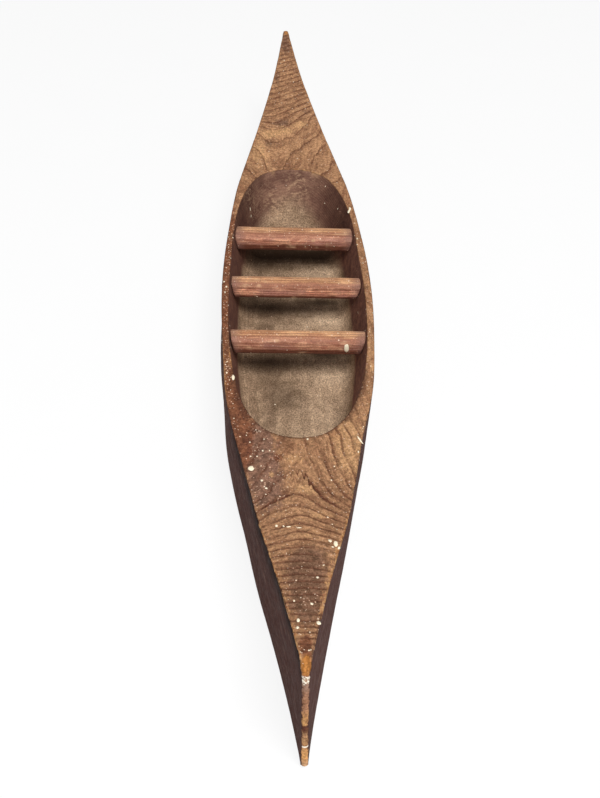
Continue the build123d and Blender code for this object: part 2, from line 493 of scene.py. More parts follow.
def ring_field(x, y, z):
    """The tree's growth rings through the block, counted across them: arched on the decks."""
    bow, out = smooth(x, -60, 60), np.abs(x)
    off = y + 10 - 8 * bow
    arch = (0.085 + 0.075 * bow) * (1 - 0.75 * smooth(out, 140, 195)) * np.hypot(off, 4 + 3 * bow)
    lean = (0.04 * bow * (1 - smooth(out, 130, 165)) + 0.085 * (1 - bow) * smooth(out, 138, 158)) * off
    rise = 0.058 * np.clip(140 - out, 0, 36)
    return (z + rise - arch - lean) / (1.03 - 0.16 * bow)


def ring_warp(points):
    """How far the rings wander, in rings."""
    lumps = ((0.24, (30, 14, 30), 5), (0.16, (8, 5, 8), 6), (0.06, (2.5, 1.5, 2.5), 8))
    return sum(amount * fbm(points, size, seed) for amount, size, seed in lumps)


def ring_pace(x, y):
    """How many rings the deck crosses per millimetre, so that a ring's line keeps its width."""
    along = ring_field(x + 1, y, sheer(x + 1)) - ring_field(x - 1, y, sheer(x - 1))
    across = ring_field(x, y + 1, sheer(x)) - ring_field(x, y - 1, sheer(x))
    return np.clip(np.hypot(along, across) / 2, 0.05, 1)


def add_object(name, data):
    obj = bpy.data.objects.new(name, data)
    bpy.context.scene.collection.objects.link(obj)
    return obj


def new_object(name, points, faces):
    mesh = bpy.data.meshes.new(name)
    mesh.from_pydata((np.asarray(points) * MM).tolist(), [], faces)
    work = bmesh.new()
    work.from_mesh(mesh)
    bmesh.ops.recalc_face_normals(work, faces=work.faces)
    work.to_mesh(mesh)
    work.free()
    mesh.polygons.foreach_set("use_smooth", np.ones(len(mesh.polygons), bool))
    return add_object(name, mesh)


def set_layers(mesh, layers):
    """Stores values for every point, for the materials to read."""
    for name, values in layers.items():
        layer = mesh.attributes.new(name, "FLOAT", "POINT")
        layer.data.foreach_set("value", np.asarray(values, np.float32))


def normals_of(mesh):
    values = np.zeros(len(mesh.vertices) * 3, np.float32)
    mesh.vertex_normals.foreach_get("vector", values)
    return values.reshape(-1, 3).astype(float)


def set_points(mesh, points):
    mesh.vertices.foreach_set("co", (np.asarray(points) * MM).astype(np.float32).ravel())
    mesh.update()


class HullWood:
    """What the wood is like at each point of the hull."""

    def __init__(self, points, info):
        self.points = points
        self.x, self.y, _ = points.T
        self.kind, self.edge, self.floor = info.T
        self.port = self.y > deck_middle(self.x)
        self.gouged = (self.kind == INSIDE) & (self.x < -60)
        self.rings = self.ring_count()
        deck_edge = (self.kind == DECK) & (self.edge < ON_EDGE)
        self.deck = np.where(self.kind == DECK, 1.0, 0) + np.where(self.kind == RIM, 0.6, 0) - 0.4 * deck_edge
        self.inside = np.where(self.kind == INSIDE, 1.0, 0) + np.where(self.kind == RIM, 0.4, 0)
        chipped = smooth(fbm(points, 4.5, 31), 0.32, 0.75)
        self.chips = chipped * np.exp(-self.edge / 0.9) * (self.kind != NOSE)

    def ring_count(self):
        """The growth rings, with teeth in the bow deck, and gouge marks in the scoop."""
        x, y, z = self.points.T
        warp = ring_warp(self.points)
        rings = ring_field(x, y, z) + warp
        teeth = np.sin(y * 2 * math.pi / 2.4 + noise(self.points, 4, 14))
        rings = rings + 0.17 * teeth * bump(x, 130, 6) * bump(y, -1, 8)
        gouges = 0.8 * (self.edge - 0.3 * np.hypot(y + 2, 10)) + 2.4 * warp
        return np.where(self.gouged, gouges, rings)

    def relief(self, normals):
        """How far the surface is cut back. It only goes inward, so it stays in the CAD box."""
        points, kind, edge = self.points, self.kind, self.edge
        radius = 0.75 + 0.4 * fbm(points, 14, 21)
        inward = np.where(edge < ON_EDGE, CORNER_CUT * radius, rounded(radius, edge)) * (kind != NOSE)
        inward += 0.9 * self.chips
        ring = self.rings % 1
        latewood = smooth(ring, 0.62, 0.85) * (1 - smooth(ring, 0.93, 1.0))
        on_wall = self.inside * (1 - self.floor)
        inward += 0.11 * (1 + fbm(points, 24, 41))
        inward += 0.09 * (1 + fbm(points, (38, 9, 9), 43)) * (kind == OUTSIDE)
        inward += 0.05 * (1 + fbm(points, 2.6, 47))
        inward += (0.1 * latewood + 0.05 * (1 + noise(points, (5, 3, 3), 49))) * self.deck
        inward += 0.14 * (1 + fbm(points, (7, 7, 16), 51)) * on_wall
        inward += 0.16 * (0.5 + 0.5 * np.sin(self.rings * 2 * math.pi / 5)) * on_wall * self.gouged
        inward += 0.25 * smooth(fbm(points, (5, 3, 4), 61), 0.1, 0.8) * (kind == NOSE)
        inward[normals[:, 2] < -0.9] = 0
        return inward

    def clear(self):
        """How clearly the rings show: least on the rims and most in the teeth."""
        x, y = self.x, self.y
        smudge = 0.75 * bump(x, 116, 9) * bump(y, -4, 8)
        past_rims = np.where(self.kind == DECK, 0.35 + 0.65 * smooth(np.abs(x), 84, 104), 1)
        arch = 2.4 * bump(x - 1.2 * np.abs(y + 1.8), 129, 3.5) * bump(y, -2, 12)
        return (1 - smudge) * past_rims * (1 + arch)

    def wall_painted_light_and_shade(self):
        """Painted light and shade on the hollow's walls: how much lighter or darker they are."""
        x, y = self.x, self.y
        port = smooth(y, 12, 24) * (smooth(x, -75, -40) + 0.9 * smooth(x, 42, 62))
        starboard = smooth(-y, 8, 22) * (0.25 * smooth(x, 20, 45) - 0.4 * smooth(-x, 50, 70))
        return (self.kind == INSIDE) * (port + starboard)

    def bare_edge(self):
        """How worn the deck's edges are: more towards both ends."""
        x, port = self.x, self.port
        worn = np.where(port, 0.5, 0.25 + 0.55 * bump(x, 62, 25))
        worn = worn + 0.36 * smooth(x, 135, 160) + 0.35 * smooth(-x, 90, 130)
        return worn * (1 - 0.85 * port * smooth(x, 199, 206))

    def rim_shadow_line(self):
        """A painted shadow line on the deck along the hollow's bow end."""
        x = self.x
        inboard = half_breadth(x) - np.abs(self.y - deck_middle(x)) > 2.6
        return (self.kind == DECK) * bump(self.edge, 0, 1.6) * (x > 60) * (x < 112) * inboard

    def layers(self):
        x, y, kind, edge = self.x, self.y, self.kind, self.edge
        layers = {
            "deck": self.deck,
            "inside": self.inside,
            "floor": self.floor * self.inside,
            "stem": (kind == NOSE) * self.floor,
            "edge": np.exp(-edge / np.where(kind == DECK, 1.2 + 0.7 * smooth(x, 130, 160), 0.9)),
            "rings": self.rings,
            "pace": np.where(kind == DECK, ring_pace(x, y), 1.0),
            "worn": self.chips * (edge < 4),
            "clear": self.clear(),
            # painted light and shade on the hollow's walls
            "wall_painted_light_and_shade": self.wall_painted_light_and_shade(),
            "bare_edge": self.bare_edge(),
            # a painted shadow line on the deck along the hollow's bow end
            "rim": self.rim_shadow_line(),
            "scoop": (kind == INSIDE) * smooth(-x, 58, 80) * (0.25 + 0.75 * bump(y, -4, 21)),
            # painted shade: a dark band on the starboard side under the deck's edge, towards the bow
            "shade": (kind == OUTSIDE) * ~self.port * smooth(x, 60, 130) * bump(edge, 0, 9),
        }
        for name, spots in SPOTS.items():
            layers[name] = blobs(self.points, spots)
        # Only inside the hollow: painted light on the floor and pale scuffs in the scoop
        layers["pale"] *= kind == INSIDE
        return layers


def build_hull():
    points, info, faces = hull_skin()
    obj = new_object("canoe_hull", points, faces)
    wood = HullWood(points, info)
    normals = normals_of(obj.data)
    set_points(obj.data, points - normals * wood.relief(normals)[:, None])
    set_layers(obj.data, wood.layers())
    return obj


def thwart_rows(place):
    """A bar between the walls. Its info is quarter turns round it and the distance to a wall."""
    lo, hi = (np.array(corner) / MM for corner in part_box(place + "_thwart"))
    middle_x, _, middle_z = (lo + hi) / 2
    half_width, _, half_height = (hi - lo) / 2
    angle = np.linspace(0, 2 * math.pi, BAR_POINTS)
    sine, cosine = np.sin(angle), np.cos(angle)
    power = 2 / np.where(cosine > 0, 3.5, 4.6)
    across = np.sign(sine) * np.abs(sine) ** power
    up = np.sign(cosine) * np.abs(cosine) ** power
    count = len(BAR_CAP) + len(BAR_END_STEPS)
    cap = 0 * BAR_CAP
    share = np.concatenate([np.zeros(count), np.linspace(0, 1, BAR_ROWS + 2)[1:-1], np.ones(count)])
    inset = np.concatenate([cap, BAR_END_STEPS, np.full(BAR_ROWS, BAR_INSET), BAR_END_STEPS[::-1], cap])
    scale = np.ones(len(inset))
    scale[: len(BAR_CAP)] = BAR_CAP
    scale[-len(BAR_CAP) :] = BAR_CAP[::-1]
    rounding = np.minimum(rounded(1.0, inset), 0.7)[:, None]
    x = middle_x + across * (half_width - rounding) * scale[:, None]
    z = middle_z + up * (half_height - rounding) * scale[:, None]
    near = wall_y(x, z, -1) + BAR_GAP + inset[:, None]
    far = wall_y(x, z, 1) - BAR_GAP - inset[:, None]
    y = near + (far - near) * share[:, None]
    turn = np.degrees(np.arctan2(across, up))[None] / 90 + 0 * y
    to_wall = np.minimum(y - wall_y(middle_x, middle_z, -1), wall_y(middle_x, middle_z, 1) - y)
    return np.stack([x, y, z], -1), np.stack([turn, to_wall], -1)


def build_thwart(place, seed, rolled, front_painted_light):
    """A whittled bar: rolled moves its colours round it, in quarter turns, and the last argument pales
    its front with painted light.
    """
    skin = Skin()
    skin.add(*thwart_rows(place))
    points, info, faces = skin.weld()
    turn, to_wall = info.T
    obj = new_object(place + "_thwart_whittled", points, faces)
    normals = normals_of(obj.data)
    local = points + 100 * seed
    facets = 0.14 * (1 + fbm(local, (7, 22, 7), seed))
    fibres = 0.05 * (1 + noise(local, (1.1, 12, 1.1), seed + 1))
    nicks = smooth(fbm(local, (2.2, 5, 2.2), seed + 2), 0.35, 0.8)
    inward = facets + fibres - 0.1 + 0.3 * nicks
    set_points(obj.data, points - normals * (inward * smooth(to_wall, -0.3, 0.8))[:, None])
    rings = (points[:, 2] * 0.8 + points[:, 0] * 0.6) / 1.15 + 0.9 * fbm(local, (6, 45, 6), seed + 4)
    layers = {
        "turn": turn + rolled,
        "ends": to_wall,
        "rings": rings,
        "worn": nicks,
        "pace": np.full_like(nicks, 0.9),
        # painted light on the bar's front
        "pale": np.full_like(nicks, front_painted_light),
    }
    set_layers(obj.data, layers)
    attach(obj, "root")
    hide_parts(place + "_thwart")
    return obj


def paint_spots(rng):
    """The drips and sprayed specks, in the form of DRIPS with their paleness."""
    spots = [(*drip, 1.0) for drip in DRIPS]
    for count, x_from, x_to, share_from, share_to in SPRAYS:
        for _ in range(count):
            x = rng.uniform(x_from, x_to)
            y = deck_middle(x) + half_breadth(x) * rng.uniform(share_from, share_to)
            r = 0.17 + 0.25 * rng.random() ** 2
            spots.append((x, y, r, r * rng.uniform(0.6, 1), rng.uniform(0, 180), rng.random()))
    return spots


def daub(rng, at, normal, long_r, short_r, tilt):
    """One small closed dome of paint that stands on the point at."""
    count = 8 if long_r < FINE else 16
    angle = np.arange(count) * 2 * math.pi / count
    wobble = 1 + (0.16 if long_r < 0.9 else 0.07) * rng.standard_normal(count)
    height = min(0.5, 0.3 * short_r + 0.02)
    aside = np.cross([0.0, 1.0, 0.0], normal)
    aside /= np.linalg.norm(aside)
    onward = np.cross(normal, aside)
    turn = math.radians(tilt)
    long_way = aside * math.cos(turn) + onward * math.sin(turn)
    short_way = onward * math.cos(turn) - aside * math.sin(turn)
    around = np.outer(long_r * np.cos(angle), long_way) + np.outer(short_r * np.sin(angle), short_way)
    points = [at + around * wobble[:, None] * share + normal * (height * lift) for share, lift in DAUB_RINGS]
    points.append([at + normal * height])
    sides = [(c, (c + 1) % count) for c in range(count)]
    faces = [[o + c, o + d, o + d + count, o + c + count] for o in (0, count) for c, d in sides]
    faces += [[2 * count + c, 2 * count + d, 3 * count] for c, d in sides]
    faces.append(list(reversed(range(count))))
    return np.concatenate(points), faces


def build_specks(targets):
    """Cream paint, each bit where the line of sight through its place meets the wood."""
    trees = []
    for obj in targets:
        corners = [vertex.co / MM for vertex in obj.data.vertices]
        trees.append(BVHTree.FromPolygons(corners, [list(face.vertices) for face in obj.data.polygons]))
    rng = np.random.default_rng(12)
    points, faces, fresh = [], [], []
    for x, y, long_r, short_r, tilt, paleness in paint_spots(rng):
        start = Vector((x, y, sheer(x))) - SIGHT_START * SIGHT
        hits = [hit for hit in (tree.ray_cast(start, SIGHT) for tree in trees) if hit[0]]
        if not hits:
            continue
        at, normal = min(hits, key=lambda hit: hit[3])[:2]
        if long_r < FINE and at.z < LOW_DOWN and rng.random() < 1 - SETTLED:
            continue
        daub_points, daub_faces = daub(rng, np.array(at), np.array(normal), long_r, short_r, tilt)
        faces += [[len(points) + corner for corner in face] for face in daub_faces]
        points += list(daub_points)
        fresh += [paleness] * len(daub_points)
    obj = new_object("paint_specks", points, faces)
    set_layers(obj.data, {"fresh": fresh})
    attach(obj, "root")
    return obj


class Nodes:
    """Adds nodes to a tree. A socket's value is a number, a colour or another node's output."""

    def __init__(self, tree):
        self.tree = tree

    def node(self, kind, values=(), **settings):
        node = self.tree.nodes.new("ShaderNode" + kind)
        for key, value in settings.items():
            setattr(node, key, value)
        for key, value in dict(values).items():
            self.plug(node.inputs[key], value)
        return node

    def plug(self, socket, value):
        if isinstance(value, bpy.types.NodeSocket):
            self.tree.links.new(value, socket)
        elif isinstance(value, tuple) and len(value) == 3 and socket.type == "RGBA":
            socket.default_value = (*value, 1)
        else:
            socket.default_value = value

    def math(self, kind, a, b=0.0):
        return self.node("Math", {0: a, 1: b}, operation=kind).outputs[0]

    def add(self, first, *others):
        for other in others:
            first = self.math("ADD", first, other)
        return first

    def times(self, first, *others):
        for other in others:
            first = self.math("MULTIPLY", first, other)
        return first

    def backdrop_rays(self):
        """1 for the rays that see plain white: from the camera, off metal or through glass."""
        rays = self.node("LightPath").outputs
        seen = self.math("MAXIMUM", rays["Is Camera Ray"], rays["Is Transmission Ray"])
        return self.math("MAXIMUM", seen, rays["Is Glossy Ray"])


class Paint(Nodes):
    """Builds one procedural material out of nodes. Sizes are in millimetres."""

    def __init__(self, name):
        self.material = bpy.data.materials.new(name)
        self.material.use_nodes = True
        super().__init__(self.material.node_tree)
        self.shader = self.tree.nodes["Principled BSDF"]
        self.place = self.tree.nodes.new("ShaderNodeTexCoord").outputs["Object"]

    def less(self, a, b):
        return self.math("SUBTRACT", a, b)

    def flip(self, a):
        return self.less(1.0, a)

    def sway(self, value, amount):
        """Turns a noise from 0 to 1 into one round 0."""
        return self.times(self.less(value, 0.5), amount)

    def layer(self, name):
        return self.node("Attribute", attribute_name=name).outputs["Fac"]

    def spread(self, size):
        """The place on the object, in lumps of one size or three."""
        size = size if isinstance(size, tuple) else (size,) * 3
        scale = tuple(1 / (s * MM) for s in size)
        return self.node("VectorMath", {0: self.place, 1: scale}, operation="MULTIPLY").outputs[0]

    def noise(self, size, detail=3.0, rough=0.55):
        return self.noise_at(self.spread(size), detail, rough)

    def noise_at(self, place, detail, rough):
        values = {"Vector": place, "Scale": 1.0, "Detail": detail, "Roughness": rough}
        return self.node("TexNoise", values).outputs["Fac"]

    def dots(self, size, radius, share):
        """Round dots, one in a share of the cells."""
        cell = self.node("TexVoronoi", {"Vector": self.spread(size), "Scale": 1.0})
        pick = self.node("SeparateColor", {"Color": cell.outputs["Color"]}).outputs[0]
        near = self.band(cell.outputs["Distance"], radius / size, radius / size * 0.6)
        return self.times(near, self.band(pick, share + 0.02, share))

    def band(self, value, lo, hi, start=0.0, end=1.0):
        """A smooth step from start at lo to end at hi. lo may be above hi."""
        if lo > hi:
            lo, hi, start, end = hi, lo, end, start
        values = {"Value": value, "From Min": lo, "From Max": hi, "To Min": start, "To Max": end}
        return self.node("MapRange", values, interpolation_type="SMOOTHSTEP").outputs["Result"]

    def mix(self, share, a, b):
        node = self.node("Mix", data_type="RGBA")
        for index, value in ((0, share), (6, a), (7, b)):
            self.plug(node.inputs[index], value)
        return node.outputs[2]

    def coat(self, ground, colour, *masks):
        """Lays a colour over the ground where the masks let it through."""
        return self.mix(self.times(*masks), ground, colour)

    def shade(self, colour, value):
        grey = self.node("CombineXYZ", {0: value, 1: value, 2: value}).outputs[0]
        return self.node("VectorMath", {0: colour, 1: grey}, operation="MULTIPLY").outputs[0]

    def ring_line(self, wander=0.15):
        """Dark latewood lines, each with a soft shade on one side."""
        value = self.add(self.layer("rings"), self.sway(self.noise((3, 1.2, 1.2), 2), wander))
        share = self.math("FRACT", value)
        gap = self.math("DIVIDE", self.math("ABSOLUTE", self.less(share, 0.8)), self.layer("pace"))
        line = self.band(gap, 0.75, 0.18)
        soft = self.times(self.band(share, 0.3, 0.8), self.band(share, 0.88, 0.8), 0.5)
        strength = self.band(self.noise((16, 9, 9), 2), 0.3, 0.5, 0.4, 1.0)
        return self.times(self.math("MAXIMUM", line, soft), strength)

    def finish(self, colour, roughness, height, depth, specular=0.4):
        self.plug(self.shader.inputs["Base Color"], colour)
        self.plug(self.shader.inputs["Roughness"], roughness)
        self.shader.inputs["Specular IOR Level"].default_value = specular
        relief = self.node("Bump", {"Height": height, "Strength": 1.0, "Distance": depth * MM})
        self.plug(self.shader.inputs["Normal"], relief.outputs["Normal"])
        return self.material


class Softwood(Paint):
    """The hull's material, with the grain that its parts share."""

    def __init__(self):
        super().__init__("stained_softwood")
        self.line = self.times(self.ring_line(), self.layer("clear"))
        self.xyz = self.node("SeparateXYZ", {"Vector": self.place}).outputs
        self.high = self.times(self.xyz["Z"], 1 / MM)
        self.grit = self.noise(0.6, 3, 0.7)
        self.speckle = self.noise(1.3, 3, 0.7)
        self.mottle = self.noise(3.2, 4, 0.6)
        self.fibre = self.noise((7, 0.5, 0.5), 3, 0.65)
        self.ragged = self.less(self.noise((4, 2.2, 2.2), 4, 0.65), 0.5)
        self.orange = self.stain("orange", 1.0)

    def stain(self, name, rough_edge=1.3, lo=0.3, hi=0.75):
        """A layer's spots with a ragged edge."""
        return self.band(self.add(self.layer(name), self.times(self.ragged, rough_edge)), lo, hi)

    def mottled(self, dark, light):
        return self.mix(self.band(self.mottle, 0.4, 0.6), dark, light)


def plain_wood(m):
    """Deck wood without stains: finer lines between the rings and darker blotches."""
    across = m.times(m.layer("rings"), 3.4)
    along = m.times(m.xyz["X"], 1 / (13 * MM))
    beside = m.times(m.xyz["Y"], 1 / (6 * MM))
    figure = m.noise_at(m.node("CombineXYZ", {0: across, 1: along, 2: beside}).outputs[0], 3.0, 0.6)
    cloud = m.noise((26, 14, 14), 4, 0.6)
    wood = m.mix(m.band(cloud, 0.35, 0.65), (0.325, 0.17, 0.088), (0.43, 0.232, 0.12))
    wood = m.coat(wood, (0.2, 0.092, 0.05), m.band(figure, 0.46, 0.62), 0.7)
    return m.coat(wood, (0.19, 0.095, 0.055), m.band(m.mottle, 0.52, 0.7), 0.5)


def deck_wood(m):
    """The deck: stained and worn patches, the ring lines and a fine grain."""
    wood = plain_wood(m)
    for name, rough_edge, share, dark, light in (
        ("grey", 1.3, 0.85, (0.13, 0.07, 0.052), (0.24, 0.128, 0.088)),
        ("dull", 0.9, 0.9, (0.125, 0.066, 0.04), (0.21, 0.112, 0.07)),
        ("red", 1.3, 0.88, (0.115, 0.04, 0.023), (0.21, 0.078, 0.04)),
    ):
        wood = m.coat(wood, m.mottled(dark, light), m.stain(name, rough_edge), share)
    wood = m.coat(wood, (0.53, 0.3, 0.145), m.stain("bare", 1.5, 0.35, 0.85), 0.75)
    rims = m.band(m.layer("clear"), 0.9, 0.3)
    wood = m.coat(wood, (0.2, 0.08, 0.038), m.band(m.fibre, 0.46, 0.62), rims, 0.42)
    wood = m.coat(wood, (0.115, 0.045, 0.026), m.line, m.flip(m.orange), 0.76)
    wood = m.coat(wood, m.mottled((0.34, 0.135, 0.034), (0.41, 0.17, 0.046)), m.orange)
    # A painted shadow line along the hollow's bow end
    wood = m.coat(wood, (0.07, 0.03, 0.02), m.layer("rim"), 0.85)
    wood = m.shade(wood, m.band(m.speckle, 0.36, 0.64, 0.74, 1.3))
    wood = m.shade(wood, m.band(m.grit, 0.3, 0.7, 0.72, 1.28))
    return m.shade(wood, m.band(m.xyz["X"], -0.15, 0.17, 1.08, 0.93))


def side_wood(m):
    """The sides and bottom: dark stain along the fibres, long pale scuffs, painted shade under the deck."""
    wood = m.mix(m.band(m.fibre, 0.3, 0.7), (0.052, 0.019, 0.0145), (0.1, 0.041, 0.031))
    wood = m.coat(wood, (0.025, 0.01, 0.008), m.line, 0.3)
    wood = m.coat(wood, (0.17, 0.095, 0.075), m.band(m.noise((30, 3, 2), 4, 0.7), 0.52, 0.7), 0.6)
    # Painted shade under the deck's starboard edge
    wood = m.shade(wood, m.band(m.layer("shade"), 0, 1, 1.0, 0.25))
    return m.shade(wood, m.band(m.grit, 0.25, 0.75, 0.75, 1.25))


def wall_wood(m):
    """The hollow's walls, paler in the scoop at the stern end, with painted light and shade."""
    scoop = m.layer("scoop")
    lumps = m.band(m.noise((9, 12, 9), 4, 0.65), 0.38, 0.62)
    wood = m.mix(m.band(m.mottle, 0.35, 0.65), (0.105, 0.046, 0.035), (0.2, 0.098, 0.067))
    wood = m.coat(wood, m.mix(lumps, (0.15, 0.074, 0.053), (0.29, 0.157, 0.106)), scoop)
    # Painted light and shade: the port wall lighter, the starboard wall lighter to the bow and darker astern
    wood = m.shade(wood, m.add(1.0, m.times(m.layer("wall_painted_light_and_shade"), 0.65)))
    return m.coat(wood, (0.07, 0.03, 0.024), m.line, m.band(scoop, 0, 1, 0.55, 0.28))


def floor_wood(m):
    """The hollow's floor: a dusty tan, with painted light in places and painted shadows by the thwarts."""
    wood = m.mix(m.band(m.noise(7, 4, 0.6), 0.35, 0.65), (0.29, 0.192, 0.119), (0.46, 0.313, 0.2))
    wood = m.coat(wood, (0.16, 0.095, 0.06), m.line, 0.35)
    # Painted light: the floor is paler at the pale spots, outside the scoop
    floor_painted_light = m.times(m.layer("pale"), m.flip(m.layer("scoop")))
    wood = m.coat(wood, (0.58, 0.415, 0.275), floor_painted_light, m.band(m.noise(3.5, 4, 0.7), 0.3, 0.6, 0.4, 1.0))
    wood = m.shade(wood, m.band(m.noise(0.75, 3, 0.8), 0.34, 0.66, 0.56, 1.44))
    # Painted shadows on the floor, under and between the thwarts
    return m.coat(wood, (0.035, 0.02, 0.012), m.layer("painted_shadow"))


def hollow_wood(m):
    """The walls and the floor, which meet raggedly, and scuffs."""
    floor_edge = m.add(m.layer("floor"), m.sway(m.mottle, 0.35))
    wood = m.mix(m.band(floor_edge, 0.05, 0.95), wall_wood(m), floor_wood(m))
    scuffs = m.band(m.noise((1.4, 3, 1.4), 4, 0.7), 0.47, 0.62)
    wood = m.coat(wood, (0.52, 0.33, 0.2), m.layer("pale"), m.layer("scoop"), scuffs, 0.7)
    return m.shade(wood, m.band(m.grit, 0.3, 0.7, 0.8, 1.2))


def stem_wood(m):
    """The stems: bare wood in bands up their height, flaked cream and one scratch."""
    bands = m.node("ValToRGB")
    stops = (
        (1, (0.6, 0.38, 0.23)), (6, (0.54, 0.29, 0.14)), (10, (0.62, 0.31, 0.11)),
        (16, (0.58, 0.29, 0.115)), (19, (0.34, 0.17, 0.075)), (25, (0.5, 0.28, 0.13)),
        (29, (0.3, 0.155, 0.08)), (31, (0.09, 0.03, 0.018)), (34, (0.11, 0.036, 0.022)),
        (35.5, (0.6, 0.32, 0.125)), (40, (0.52, 0.26, 0.1)), (46, (0.38, 0.185, 0.1)),
        (56, (0.33, 0.165, 0.095)), (61, (0.3, 0.18, 0.13)), (67.5, (0.4, 0.24, 0.14)),
        (68.2, (0.38, 0.155, 0.045)),
    )
    ramp = bands.color_ramp
    while len(ramp.elements) < len(stops):
        ramp.elements.new(0.5)
    for element, (at, colour) in zip(ramp.elements, stops):
        element.position = at / END
        element.color = (*colour, 1)
    share = m.times(m.xyz["Z"], 1 / (END * MM))
    m.plug(bands.inputs[0], m.add(share, m.sway(m.noise(1.6, 3, 0.7), 0.05)))
    worn_off = m.band(m.noise((2, 2, 3.4), 4, 0.7), 0.47, 0.6)
    wood = m.coat(bands.outputs[0], (0.13, 0.055, 0.03), worn_off, m.band(m.high, 17, 20, 0.25, 0.7))
    wood = m.shade(wood, m.band(m.speckle, 0.38, 0.62, 0.8, 1.22))
    near_top = m.times(m.band(m.high, 57, 65.5), m.band(m.high, 69, 67.6))
    flakes = m.band(m.add(near_top, m.sway(m.noise(1.1, 3, 0.75), 2.0)), 0.9, 0.98)
    scratch = m.band(m.math("ABSOLUTE", m.less(m.high, 18.3)), 0.75, 0.4)
    return m.coat(wood, (0.92, 0.84, 0.7), m.math("MAXIMUM", flakes, m.times(scratch, 0.9)))


def stem_strip(m):
    """Where a stem is scraped bare: a ragged strip, narrower at mid height."""
    stem = m.layer("stem")
    strip = m.add(stem, m.sway(m.noise((1.5, 1.5, 2.6), 4, 0.7), 2.8))
    strip = m.less(strip, m.times(m.band(m.high, 15, 22), m.band(m.high, 58, 54), 0.14))
    return m.times(m.band(strip, 0.35, 0.55), m.band(stem, 0.0, 0.1))


def worn_edges(m):
    """Where the stain is worn off the edges, but not at the painted shadow line along the rim or the orange
    tips.
    """
    edge = m.times(m.layer("edge"), m.layer("bare_edge"))
    frayed = m.add(m.times(m.ragged, 0.8), m.sway(m.noise((2.4, 1.2, 1.2), 4, 0.7), 1.4))
    edge = m.band(m.add(edge, frayed), 0.36, 0.56)
    return m.times(edge, m.flip(m.layer("rim")), m.flip(m.orange), 0.85)


def hull_material():
    m = Softwood()
    colour = m.coat(side_wood(m), deck_wood(m), m.layer("deck"))
    colour = m.coat(colour, hollow_wood(m), m.layer("inside"))
    colour = m.coat(colour, stem_wood(m), stem_strip(m))
    tan = m.mix(m.band(m.noise(1.7, 3, 0.65), 0.4, 0.6), (0.38, 0.168, 0.065), (0.6, 0.34, 0.155))
    tan = m.coat(tan, (0.24, 0.075, 0.04), m.band(m.noise(1.3, 3, 0.7), 0.52, 0.62), 0.7)
    colour = m.coat(colour, tan, worn_edges(m))
    colour = m.coat(colour, (0.58, 0.36, 0.18), m.layer("worn"), 0.8)
    dust = m.math("MAXIMUM", m.dots(1.4, 0.24, 0.55), m.dots(2.9, 0.4, 0.4))
    dusty = m.add(m.times(m.layer("deck"), 0.82), 0.18)
    colour = m.coat(colour, (0.7, 0.5, 0.36), dust, 0.7, dusty)
    relief = m.add(m.times(m.fibre, 0.5), m.times(m.grit, 0.5))
    relief = m.less(relief, m.times(m.line, 0.7))
    return m.finish(colour, m.band(m.mottle, 0.3, 0.7, 0.6, 0.85), relief, 0.16, 0.04)


def thwart_material():
    """A pale worn top, a redder bruised front with painted light on it, and painted shade along
    the corner between them and along the front's lower edge.
    """
    m = Paint("thwart_wood")
    line = m.ring_line(0.3)
    fibre = m.noise((0.45, 9, 0.45), 3, 0.65)
    grit = m.noise(0.6, 3, 0.7)
    mottle = m.noise((3, 7, 3), 4, 0.6)
    exact_turn = m.layer("turn")
    turn = m.add(exact_turn, m.sway(mottle, 0.9))
    top = m.mix(m.band(m.noise((5, 16, 5), 3), 0.38, 0.62), (0.49, 0.245, 0.12), (0.68, 0.38, 0.195))
    front = m.mix(m.band(mottle, 0.38, 0.62), (0.396, 0.16, 0.1), (0.61, 0.307, 0.184))
    bruises = m.band(m.noise((8, 22, 8), 4, 0.65), 0.44, 0.6)
    front = m.coat(front, (0.27, 0.125, 0.1), bruises, m.band(turn, 0.5, 0.9), 0.75)
    wood = m.mix(m.band(turn, 0.1, 0.6), top, front)
    # Painted shade along the corner between the top and the front
    wood = m.coat(wood, (0.3, 0.125, 0.075), m.band(turn, 0.15, 0.4), m.band(turn, 0.85, 0.6), 0.55)
    # Painted light on the front face, strongest on the middle thwart
    wood = m.shade(wood, m.add(1.0, m.times(m.band(turn, 0.6, 0.85), m.layer("pale"), 0.3)))
    # Painted shade along the front's lower edge, where the bar curves under
    lower = m.add(exact_turn, m.sway(mottle, 0.45))
    wood = m.coat(wood, (0.09, 0.026, 0.015), m.band(lower, 1.12, 1.32))
    # Darker over the back's lower half and the bottom
    wood = m.coat(wood, (0.14, 0.06, 0.04), m.band(exact_turn, -0.8, -1.2))
    wood = m.coat(wood, (0.22, 0.075, 0.04), line, 0.55)
    wood = m.coat(wood, (0.2, 0.11, 0.09), m.band(m.layer("ends"), 6, 0), 0.55)
    grain = m.add(m.times(fibre, 0.45), m.times(grit, 0.55))
    wood = m.shade(wood, m.band(grain, 0.36, 0.64, 0.66, 1.34))
    wood = m.coat(wood, (0.68, 0.42, 0.24), m.layer("worn"), 0.7)
    dust = m.math("MAXIMUM", m.dots(1.5, 0.27, 0.55), m.dots(3.1, 0.48, 0.6))
    wood = m.coat(wood, (0.85, 0.64, 0.48), dust, 0.8)
    relief = m.less(m.add(fibre, m.times(grit, 0.4)), m.times(line, 0.5))
    return m.finish(wood, m.band(mottle, 0.3, 0.7, 0.5, 0.7), relief, 0.14, 0.22)


def speck_material():
    m = Paint("cream_paint")
    grit = m.noise(0.4, 2)
    cream = m.mix(m.band(grit, 0.3, 0.7), (0.84, 0.72, 0.5), (0.95, 0.87, 0.68))
    colour = m.mix(m.band(m.layer("fresh"), 0.45, 1.0), (0.56, 0.35, 0.23), cream)
    return m.finish(colour, m.band(grit, 0.3, 0.7, 0.45, 0.6), grit, 0.03)


